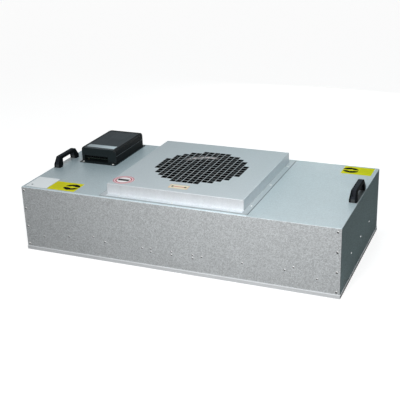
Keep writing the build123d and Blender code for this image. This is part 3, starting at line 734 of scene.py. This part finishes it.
def shade_under(piece, places):
    """Paints shadow on the lower rim of heads on the long walls, and gives those on the ends a brighter copy of
    the finish as painted light.
    """
    # Painted shadow: a dark finish for the lower rim of heads on the long walls.
    painted_shadow = cast_metal(piece.name + "_grime", (0.03, 0.032, 0.032), 0.0, 0.8, specular=0.05)
    # Painted light: a brighter, fully metallic copy of the finish for heads on the ends.
    bright = plated(piece.name + "_lit", (0.9, 0.9, 0.9), 1.0)
    for material in (painted_shadow, bright):
        piece.data.materials.append(material)
    painted_shadow_slot, painted_light_slot = 1, 2
    least_upright, reach, rim, tilt = 0.8, 1.5, 0.22, 0.5
    on_walls = [((low + high) / 2, max(high - low) / 2, high - low) for low, high in places
                if (high - low).z > least_upright * max(high - low)]
    for face in piece.data.polygons:
        for middle, radius, size in on_walls:
            away = face.center - middle
            if away.length > reach * radius:
                continue
            # Heads on the ends take the painted light; the lower rims of the others take the painted shadow.
            if min(size) == size.x:
                face.material_index = painted_light_slot
            elif away.z + tilt * away.x < rim * radius:
                face.material_index = painted_shadow_slot


def pan_head(name, width, height):
    """A pan head with a rounded rim and a cross recess."""
    radius = width / 2
    piece = add_drum(name, radius, height * 0.96, 28)
    pick_edges(piece, lambda a, b: a.z > height * 0.5 and b.z > height * 0.5)
    bpy.ops.mesh.bevel(offset=height * 0.42, segments=4, affect="EDGES", profile=0.5)
    pick_faces(piece, lambda middle, normal: normal.z > 0.99)
    bpy.ops.mesh.inset(thickness=radius * 0.25)
    pick_faces(piece, lambda middle, normal: normal.z > 0.99 and middle.xy.length < radius * 0.3)
    bpy.ops.transform.translate(value=(0, 0, height * 0.035))
    arm, slot = radius * 0.56, radius * 0.17
    for x, y in ((slot, arm), (arm, slot)):
        blade = add_block(name + "_blade", (-x, -y, height * 0.42), (x, y, height * 1.4))
        pick_faces(blade, lambda middle, normal: normal.z < -0.9)
        bpy.ops.transform.resize(value=(0.5, 0.5, 1), center_override=(0, 0, 0))
        cut(piece, blade)
    return end(piece, 35)


def rivet_head(name, width, height):
    """A low dome with the pit of the pulled pin."""
    radius = width / 2
    piece = add_drum(name, radius, height * 0.35, 24)
    steps = ((0.16, 0.32), (0.20, 0.20), (0.20, 0.08))
    pick_faces(piece, lambda middle, normal: normal.z > 0.99)
    for inset, rise in steps:
        bpy.ops.mesh.inset(thickness=radius * inset)
        bpy.ops.transform.translate(value=(0, 0, height * rise))
    bpy.ops.mesh.inset(thickness=radius * 0.10)
    bpy.ops.transform.translate(value=(0, 0, -height * 0.5))
    bpy.ops.mesh.inset(thickness=radius * 0.06)
    bpy.ops.transform.translate(value=(0, 0, height * 0.22))
    return end(piece, 40)


def hex_head(name, width, height):
    """A hexagon with a chamfered crown."""
    piece = add_drum(name, width / 2, height, 6)
    pick_edges(piece, lambda a, b: a.z > height * 0.5 and b.z > height * 0.5)
    bpy.ops.mesh.bevel(offset=height * 0.14, segments=2, affect="EDGES")
    pick_faces(piece, lambda middle, normal: normal.z > 0.99)
    bpy.ops.mesh.inset(thickness=width * 0.06)
    bpy.ops.transform.translate(value=(0, 0, -height * 0.05))
    return end(piece, 25)


# ---------------------------------------------------------------- handles
def shape_handle(name, node, sizes):
    """One bridge handle: half of it is shaped from its foot, then mirrored, rounded and pocketed."""
    low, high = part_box(node)
    middle = (low + high) / 2
    width, length, height = high - low
    half = length / 2
    foot, foot_height = sizes.handle_foot, sizes.handle_foot_height
    bar, bar_width = sizes.handle_bar, sizes.handle_bar_width
    lean, leg_extra, top_less = 6 * MM, 1.2 * MM, 1.0 * MM
    inner_end = lean - sizes.handle_gap / 2
    slope_in = (inner_end + half - foot) / (height - bar)
    slope_out = (half - sizes.handle_top / 2) / (height - foot_height)
    piece = add_block(name, (-width / 2, -half, 0), (width / 2, -half + foot, foot_height))

    def selected(mesh):
        return [vertex for vertex in mesh.verts if vertex.select]

    def shape_top(z, across):
        """Fits the selected top ring between the outer and inner lines at its height."""
        mesh = bmesh.from_edit_mesh(piece.data)
        ring = selected(mesh)
        centre = sum(vertex.co.y for vertex in ring) / len(ring)
        outer = -half + slope_out * max(0, z - foot_height)
        inner = -half + foot + slope_in * min(z, height - bar)
        for vertex in ring:
            vertex.co.y = inner if vertex.co.y > centre else outer
            vertex.co.x = math.copysign(across / 2, vertex.co.x)
        bmesh.update_edit_mesh(piece.data)

    pick_faces(piece, lambda middle, normal: normal.z > 0.9)
    shape_top(foot_height, width)
    z_now = foot_height
    for z, across in ((height - bar, bar_width + leg_extra), (height, bar_width - top_less)):
        pull((0, 0, z - z_now))
        shape_top(z, across)
        z_now = z
    pick_faces(piece, lambda middle, normal: normal.y > 0.5 and middle.z > height - bar)
    pull((0, -inner_end, 0))
    mesh = bmesh.from_edit_mesh(piece.data)
    for vertex in selected(mesh):
        vertex.co.y = 0
    bmesh.update_edit_mesh(piece.data)
    bpy.ops.mesh.delete(type="ONLY_FACE")
    apply_modifier(piece, "MIRROR", use_axis=(False, True, False), merge_threshold=1e-5)
    reach = sizes.handle_pocket / 2
    for y in (-sizes.handle_screw_pitch / 2, sizes.handle_screw_pitch / 2):
        cutter = add_block(name + "_pocket", (-reach, y - reach, foot_height), (reach, y + reach, 2 * height))
        pick_edges(cutter, lambda a, b: abs(a.z - b.z) > height)
        bpy.ops.mesh.bevel(offset=2.2 * MM, segments=3, affect="EDGES")
        cut(piece, cutter)
    apply_modifier(piece, "BEVEL", width=1.5 * MM, segments=3, limit_method="ANGLE",
                   angle_limit=math.radians(18), harden_normals=False)
    piece.data.transform(Matrix.Translation((middle.x, middle.y, low.z)))
    return end(piece, 35)


# ---------------------------------------------------------------- stickers
def lay_film(name, middle, size, surface, corner, finish):
    """A thin film with rounded corners on a flat surface."""
    thickness, edge = 0.25 * MM, 0.06 * MM
    half_x, half_y = size[0] / 2, size[1] / 2
    piece = add_block(name, (-half_x, -half_y, 0), (half_x, half_y, thickness))
    pick_edges(piece, lambda a, b: abs(a.z - b.z) > thickness / 2)
    bpy.ops.mesh.bevel(offset=corner, segments=8, affect="EDGES")
    pick_edges(piece, lambda a, b: a.z > thickness / 2 and b.z > thickness / 2)
    bpy.ops.mesh.bevel(offset=edge, segments=1, affect="EDGES")
    bpy.ops.object.mode_set(mode="OBJECT")
    piece.data.transform(Matrix.Translation((*middle, surface)))
    end(piece, 25)
    return fit_out(piece, finish, CASING, None)


# ---------------------------------------------------------------- settings
class FanFilterSizes(bpy.types.PropertyGroup):
    """Sizes of the fittings that a user would change."""

    handle_foot: FloatProperty(
        name="Handle foot", description="Length of each foot of a handle", default=20 * MM, unit="LENGTH")
    handle_foot_height: FloatProperty(
        name="Handle foot height", description="Height of the block that the screw stands on",
        default=12 * MM, unit="LENGTH")
    handle_bar: FloatProperty(
        name="Handle bar", description="Thickness of the handle's bar", default=10 * MM, unit="LENGTH")
    handle_bar_width: FloatProperty(
        name="Handle bar width", description="Width of the handle's bar", default=21 * MM, unit="LENGTH")
    handle_top: FloatProperty(
        name="Handle top", description="Length of the handle's flat top", default=108 * MM, unit="LENGTH")
    handle_gap: FloatProperty(
        name="Finger gap", description="Length of the gap under the bar", default=96 * MM, unit="LENGTH")
    handle_pocket: FloatProperty(
        name="Screw pocket", description="Width of the pocket over a handle's screw",
        default=11 * MM, unit="LENGTH")
    handle_screw_pitch: FloatProperty(
        name="Handle screw pitch", description="Distance between a handle's screws",
        default=120 * MM, unit="LENGTH")
    ring_mouth: FloatProperty(
        name="Inlet mouth", description="Radius where the flare begins", default=165 * MM, unit="LENGTH")
    ring_throat: FloatProperty(
        name="Inlet throat", description="Radius of the inlet ring's throat", default=134 * MM, unit="LENGTH")
    ring_depth: FloatProperty(
        name="Inlet depth", description="Depth of the inlet ring's flare", default=26 * MM, unit="LENGTH")
    ring_sheet: FloatProperty(
        name="Inlet sheet", description="Thickness of the inlet ring", default=1.2 * MM, unit="LENGTH")
    flare_steps: IntProperty(
        name="Flare steps", description="Rings along the curve of the inlet ring", default=12)
    ring_sides: IntProperty(
        name="Inlet sides", description="Sides around the inlet ring", default=144)


class FanFilterColours(bpy.types.PropertyGroup):
    """Colours of the finishes that a user would change."""

    sheet: FloatVectorProperty(
        name="Sheet", description="Zinc coated sheet of the walls", subtype="COLOR",
        default=(0.492, 0.522, 0.532))
    # The top's colour is painted lighter than the walls' for the light on the top.
    painted_lit_top: FloatVectorProperty(
        name="Top sheet", description="Zinc coated sheet of the top", subtype="COLOR",
        default=(0.56, 0.62, 0.645))
    panels: FloatVectorProperty(
        name="End panels", description="Zinc coated sheet of the ends", subtype="COLOR",
        default=(0.44, 0.56, 0.575))
    hood: FloatVectorProperty(
        name="Hood", description="Sheet of the inlet hood", subtype="COLOR", default=(0.588, 0.622, 0.645))
    frame_bars: FloatVectorProperty(
        name="Filter frame", description="Extruded bars of the filter", subtype="COLOR",
        default=(0.60, 0.63, 0.645))
    fan: FloatVectorProperty(
        name="Fan", description="Coating of the impeller and the inlet ring", subtype="COLOR",
        default=(0.0045, 0.0050, 0.0055))
    cover: FloatVectorProperty(
        name="Controller cover", description="Anodised cover of the speed controller", subtype="COLOR",
        default=(0.0095, 0.0118, 0.0130))
    plates: FloatVectorProperty(
        name="Controller plates", description="Anodised end plates of the speed controller", subtype="COLOR",
        default=(0.0165, 0.0245, 0.0265))
    handles: FloatVectorProperty(
        name="Handles", description="Plastic of the handles", subtype="COLOR", default=(0.014, 0.017, 0.019))
    rivets: FloatVectorProperty(
        name="Rivets", description="Alloy of the casing's rivets", subtype="COLOR",
        default=(0.86, 0.87, 0.88))
    yellow: FloatVectorProperty(
        name="Yellow films", description="Ground of the yellow films", subtype="COLOR",
        default=(0.96, 0.87, 0.022))


# ---------------------------------------------------------------- operators
class FAN_OT_casing(bpy.types.Operator):
    """Coat the casing, its rails and the fan deck"""

    bl_idname = "fan.casing"
    bl_label = "Casing"

    def execute(self, context):
        colours = context.scene.fan_filter_colours
        coat_nodes(galvanised("casing_sheet", colours.sheet, painted_lit_top=colours.painted_lit_top), "casing_shell")
        coat_nodes(galvanised("panel_sheet", colours.panels, 0.6, 0.09, 0.0),
                   "end_panel_left", "end_panel_right")
        coat_nodes(galvanised("rail_sheet", colours.sheet, 1.2), "filter_rail_front", "filter_rail_back",
                   "filter_rail_left", "filter_rail_right", "fan_deck")
        return {"FINISHED"}


class FAN_OT_filter(bpy.types.Operator):
    """Coat the filter's frame, paper, seal, gasket and wires"""

    bl_idname = "fan.filter"
    bl_label = "Filter"

    def execute(self, context):
        colour = context.scene.fan_filter_colours.frame_bars
        coat_nodes(drawn_alloy("frame_bar_long", colour, True), "filter_frame_front", "filter_frame_back")
        coat_nodes(drawn_alloy("frame_bar_short", colour, False), "filter_frame_left", "filter_frame_right")
        coat_nodes(pleats("filter_paper"), "filter_media")
        coat_nodes(moulded("cast_seal", (0.72, 0.70, 0.62), 0.45, 300, 0.1), "filter_sealant")
        coat_nodes(foam("gasket_foam", (0.05, 0.05, 0.055)), "filter_gasket")
        coat_nodes(cast_metal("wire_coat", (0.80, 0.80, 0.80), 0.0, 0.45, 1200, 0.03), "face_guard")
        return {"FINISHED"}


class FAN_OT_hood(bpy.types.Operator):
    """Coat the inlet hood"""

    bl_idname = "fan.hood"
    bl_label = "Inlet hood"

    def execute(self, context):
        coat_nodes(hood_sheet("hood_sheet", context.scene.fan_filter_colours.hood), "inlet_hood")
        return {"FINISHED"}


class FAN_OT_inlet_ring(bpy.types.Operator):
    """Spin the inlet ring with its smooth flare"""

    bl_idname = "fan.inlet_ring"
    bl_label = "Inlet ring"

    def execute(self, context):
        low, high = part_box("inlet_ring")
        sizes = context.scene.fan_filter_sizes
        sheet, mouth, throat, depth = sizes.ring_sheet, sizes.ring_mouth, sizes.ring_throat, sizes.ring_depth
        outer = []
        inner = []
        for step in range(sizes.flare_steps + 1):
            turn = math.pi / 2 * step / sizes.flare_steps
            radius = mouth - (mouth - throat) * math.sin(turn)
            down = 1 - math.cos(turn)
            outer.append((radius, high.z - depth * down))
            inner.append((radius + sheet, high.z - sheet - (depth - sheet) * down))
        rim = [(high.x, high.z), (high.x, high.z - sheet)]
        profile = rim + inner + [(throat + sheet, low.z), (throat, low.z)] + outer[::-1]
        clear_selection()
        bpy.ops.mesh.primitive_circle_add(vertices=len(profile), radius=0.1)
        piece = start("inlet_ring_spun")
        mesh = bmesh.from_edit_mesh(piece.data)
        mesh.verts.ensure_lookup_table()
        for vertex, (radius, z) in zip(mesh.verts, profile):
            vertex.co = (radius, 0, z)
        bmesh.update_edit_mesh(piece.data)
        bpy.ops.mesh.select_all(action="SELECT")
        bpy.ops.mesh.spin(steps=sizes.ring_sides, angle=math.tau, center=(0, 0, 0), axis=(0, 0, 1))
        bpy.ops.mesh.select_all(action="SELECT")
        bpy.ops.mesh.remove_doubles(threshold=1e-6)
        bpy.ops.mesh.normals_make_consistent(inside=False)
        end(piece, 35)
        colour = context.scene.fan_filter_colours.fan
        fit_out(piece, turned_metal("ring_coat", colour, 0.0, 0.5, 900, 0.0, True), CASING,
                frame_slot("inlet_ring"), "inlet_ring")
        return {"FINISHED"}


class FAN_OT_impeller(bpy.types.Operator):
    """Coat the impeller and the motor"""

    bl_idname = "fan.impeller"
    bl_label = "Impeller and motor"

    def execute(self, context):
        colour = context.scene.fan_filter_colours.fan
        coat_nodes(turned_metal("disc_coat", colour, 0.0, 0.5, 900, 0.0),
                   "impeller_backplate", "impeller_shroud")
        coat_nodes(cast_metal("blade_coat", colour, 0.0, 0.5, specular=0.0), "impeller_blades")
        coat_nodes(cast_metal("rotor_paint", (0.007, 0.007, 0.008), 0.0, 0.45, 900, 0.05, 0.0), "motor_rotor")
        coat_nodes(cast_metal("cast_base", (0.34, 0.35, 0.35), 0.6, 0.55, 500, 0.12), "stator_base")
        coat_nodes(laminations("core_stack"), "stator_core")
        coat_nodes(windings("copper_wire"), "stator_windings")
        coat_nodes(turned_metal("bearing_steel", (0.55, 0.55, 0.56), 0.9, 0.22, 2400), "motor_bearings")
        coat_nodes(turned_metal("shaft_steel", (0.50, 0.50, 0.51), 0.9, 0.3, 3000), "motor_shaft")
        return {"FINISHED"}


class FAN_OT_controller(bpy.types.Operator):
    """Coat the speed controller, its board and its sockets"""

    bl_idname = "fan.controller"
    bl_label = "Speed controller"

    def execute(self, context):
        colours = context.scene.fan_filter_colours
        coat_nodes(black_anodised("cover_anodised", colours.cover, True), "controller_cover")
        coat_nodes(black_anodised("plate_anodised", colours.plates, False),
                   "controller_front", "controller_back", "controller_base")
        coat_nodes(circuit("circuit_board"), "controller_board")
        # Painted shade: the brass is darkened for the shade inside the controller.
        coat_nodes(plated("post_brass_painted_shade", (0.09, 0.075, 0.05)), "board_posts")
        coat_nodes(moulded("socket_plastic", (0.012, 0.014, 0.015), 0.4, 1500, 0.03, 0.02),
                   "power_inlet", "signal_jacks")
        coat_nodes(foam("edging_rubber", (0.02, 0.02, 0.02)), "cable_edging")
        return {"FINISHED"}


class FAN_OT_handles(bpy.types.Operator):
    """Shape both handles"""

    bl_idname = "fan.handles"
    bl_label = "Handles"

    def execute(self, context):
        scene = context.scene
        low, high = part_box("handle_right")
        finish = grip_plastic("handle_plastic", scene.fan_filter_colours.handles, (low.x + high.x) / 2, low.z)
        for side in ("left", "right"):
            node = "handle_" + side
            piece = shape_handle("handle_grip_" + side, node, scene.fan_filter_sizes)
            fit_out(piece, finish, CASING, frame_slot(node), node)
        return {"FINISHED"}


class FAN_OT_fasteners(bpy.types.Operator):
    """Stand every screw, rivet and bolt head in its place"""

    bl_idname = "fan.fasteners"
    bl_label = "Fasteners"

    def execute(self, context):
        zinc = plated("zinc_plate", (0.78, 0.79, 0.78))
        bright = plated("bright_plate", (0.92, 0.92, 0.90))
        alloy = plated("rivet_alloy", context.scene.fan_filter_colours.rivets)
        black = plated("black_plate", (0.03, 0.03, 0.032))
        stand_heads("casing_screw_heads", "panel_screws", pan_head, CASING, zinc)
        stand_heads("casing_rivet_heads", "casing_rivets", rivet_head, CASING, alloy)
        stand_heads("hood_screw_heads", "hood_screws", pan_head, CASING, zinc)
        stand_heads("base_screw_heads", "base_screws", pan_head, CASING, bright)
        stand_heads("plate_screw_heads", "plate_screws", pan_head, CASING, black)
        stand_heads("handle_screw_heads", "handle_screws", pan_head, CASING, zinc)
        stand_heads("motor_bolt_heads", "motor_bolts", hex_head, CASING, zinc, sign=-1)
        stand_heads("hub_bolt_heads", "hub_bolts", hex_head, IMPELLER, zinc)
        return {"FINISHED"}


class FAN_OT_stickers(bpy.types.Operator):
    """Lay the plain and coloured films on the casing, the hood and the controller"""

    bl_idname = "fan.stickers"
    bl_label = "Stickers"

    def execute(self, context):
        yellow = context.scene.fan_filter_colours.yellow
        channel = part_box("controller_cover")[1].z - 0.6 * MM
        left, right = yellow_print(1, yellow), yellow_print(-1, yellow)
        films = (   # name, middle, size, height it lies at, corner in mm, print, gloss, foil
            ("film_white", (-0.536, -0.225), (0.088, 0.098), CASING_TOP, 0.8, white_print, 0.5, 0.25),
            ("film_yellow_left", (-0.4335, -0.235), (0.112, 0.078), CASING_TOP, 2.5, left, 0.0, 0.15),
            ("film_yellow_right", (0.5185, 0.238), (0.110, 0.078), CASING_TOP, 2.5, right, 0.0, 0.06),
            ("film_round", (-0.211, -0.205), (0.077, 0.077), HOOD_TOP, 38.4, round_print, 0.03, 0.3),
            ("film_orange", (0.002, -0.207), (0.071, 0.034), HOOD_TOP, 5.0, orange_print, 0.05, 0.1),
            ("film_silver", (-0.443, 0.0585), (0.120, 0.030), channel, 0.8, silver_print, 0.1, 0.12),
        )
        for name, middle, size, surface, corner, draw, gloss, foil in films:
            finish = film(name + "_print", draw, middle, gloss, foil)
            lay_film(name, middle, size, surface, corner * MM, finish)
        return {"FINISHED"}


class FAN_OT_studio(bpy.types.Operator):
    """Set the floor, the lamps, the world and the camera"""

    bl_idname = "fan.studio"
    bl_label = "Studio"

    def execute(self, context):
        lay_floor()
        light_world(context.scene)
        for name, place, aim, size, energy, colour in LAMPS:
            hang_lamp(name, place, aim, size, energy, colour)
        set_camera(context.scene)
        context.scene.view_settings.view_transform = "Standard"
        return {"FINISHED"}


# ---------------------------------------------------------------- studio
LAMPS = (   # name, place, aim, size in metres, power in watts, colour
    ("key", (0.36, -1.3, 1.0), (0.2, -0.2, 0.1), 0.4, 15.9, (1.0, 0.97, 0.97)),
    ("overhead", (0.0, 0.1, 2.4), (0, 0, 0.2), 1.0, 7.2, (0.50, 0.86, 1.0)),
    ("side", (0.42, 0.3, 1.2), (0.3, 0.1, 0.2), 0.3, 2.5, (0.72, 0.98, 1.0)),
    ("back", (-0.1, 2.3, 0.24), (-0.1, 0.29, 0.14), 0.4, 14.0, (1.0, 0.99, 0.98)),
    ("left", (-2.4, 0.0, 0.26), (-0.59, 0.0, 0.14), 0.4, 9.0, (1.0, 0.99, 0.98)),
)


def lay_floor():
    """A plain pale floor that shows white and keeps the soft shadow."""
    clear_selection()
    bpy.ops.mesh.primitive_grid_add(x_subdivisions=2, y_subdivisions=2, size=40)
    floor = bpy.context.object
    floor.name = "floor"
    m = Finish("floor_paint", roughness=0.9)
    m.set(m.shade((0.30, 0.30, 0.30), 1 + m.noise(3, 2).sway(0.01)))
    paint = Wire(m, m.shader.outputs[0])
    glow = m.node("ShaderNodeEmission", {}, {"Color": (1, 1, 1, 1), "Strength": m.seen() * 0.9})
    both = m.node("ShaderNodeAddShader", {}, {0: paint, 1: glow})
    m.feed(m.tree.nodes["Material Output"].inputs["Surface"], both)
    coat(floor, m.material)


def light_world(scene):
    """A white background over a faint soft light."""
    world = bpy.data.worlds.new("studio_world")
    scene.world = world
    world.use_nodes = True
    world.node_tree.nodes.clear()
    nodes = Nodes(world.node_tree)
    soft = nodes.node("ShaderNodeBackground", {}, {"Color": (0.86, 0.97, 1.0, 1), "Strength": 0.02})
    white = nodes.node("ShaderNodeBackground", {}, {"Color": (1, 1, 1, 1), "Strength": 1.0})
    both = nodes.node("ShaderNodeMixShader", {}, {0: nodes.seen(), 1: soft, 2: white})
    nodes.node("ShaderNodeOutputWorld", {}, {"Surface": both})


def hang_lamp(name, place, aim, size, energy, colour):
    """A round area lamp turned to its aim."""
    clear_selection()
    bpy.ops.object.light_add(type="AREA", location=place)
    lamp = bpy.context.object
    lamp.name = name
    lamp.rotation_euler = (Vector(aim) - Vector(place)).to_track_quat("-Z", "Y").to_euler()
    lamp.data.shape = "DISK"
    lamp.data.size = size
    lamp.data.energy = energy
    lamp.data.color = colour


def set_camera(scene):
    """The camera high in front of the right end, looking down on the unit."""
    right = Vector((0.92186445, 0.38615634, -0.03239165))
    down = Vector((0.1167311, -0.35642912, -0.92700169))
    ahead = Vector((-0.36951291, 0.85078879, -0.37365578))
    picture_width, focal_length = 400, 826.0   # both in pixels
    data = bpy.data.cameras.new("camera")
    data.sensor_width = 36
    data.lens = focal_length / picture_width * data.sensor_width
    camera = bpy.data.objects.new("camera", data)
    scene.collection.objects.link(camera)
    turn = Matrix((right, -down, -ahead)).transposed().to_4x4()
    camera.matrix_world = Matrix.Translation((1.11493, -2.59267, 1.29497)) @ turn
    scene.camera = camera


# ---------------------------------------------------------------- panel and registering
OPERATORS = (
    FAN_OT_casing, FAN_OT_filter, FAN_OT_hood, FAN_OT_inlet_ring, FAN_OT_impeller, FAN_OT_controller,
    FAN_OT_handles, FAN_OT_fasteners, FAN_OT_stickers, FAN_OT_studio,
)


class FAN_PT_sidebar(bpy.types.Panel):
    """The pieces of the fan filter unit"""

    bl_label = "Fan Filter Unit"
    bl_space_type = "VIEW_3D"
    bl_region_type = "UI"
    bl_category = "Fan Filter Unit"

    def draw(self, context):
        for operator in OPERATORS:
            self.layout.operator(operator.bl_idname)


CLASSES = (FanFilterSizes, FanFilterColours, *OPERATORS, FAN_PT_sidebar)


def register():
    for cls in CLASSES:
        bpy.utils.register_class(cls)
    bpy.types.Scene.fan_filter_sizes = PointerProperty(type=FanFilterSizes)
    bpy.types.Scene.fan_filter_colours = PointerProperty(type=FanFilterColours)


def unregister():
    del bpy.types.Scene.fan_filter_colours
    del bpy.types.Scene.fan_filter_sizes
    for cls in reversed(CLASSES):
        bpy.utils.unregister_class(cls)


def main():
    register()
    bpy.ops.fan.casing()
    bpy.ops.fan.filter()
    bpy.ops.fan.hood()
    bpy.ops.fan.inlet_ring()
    bpy.ops.fan.impeller()
    bpy.ops.fan.controller()
    bpy.ops.fan.handles()
    bpy.ops.fan.fasteners()
    bpy.ops.fan.stickers()
    bpy.ops.fan.studio()


if __name__ == "__main__":
    main()
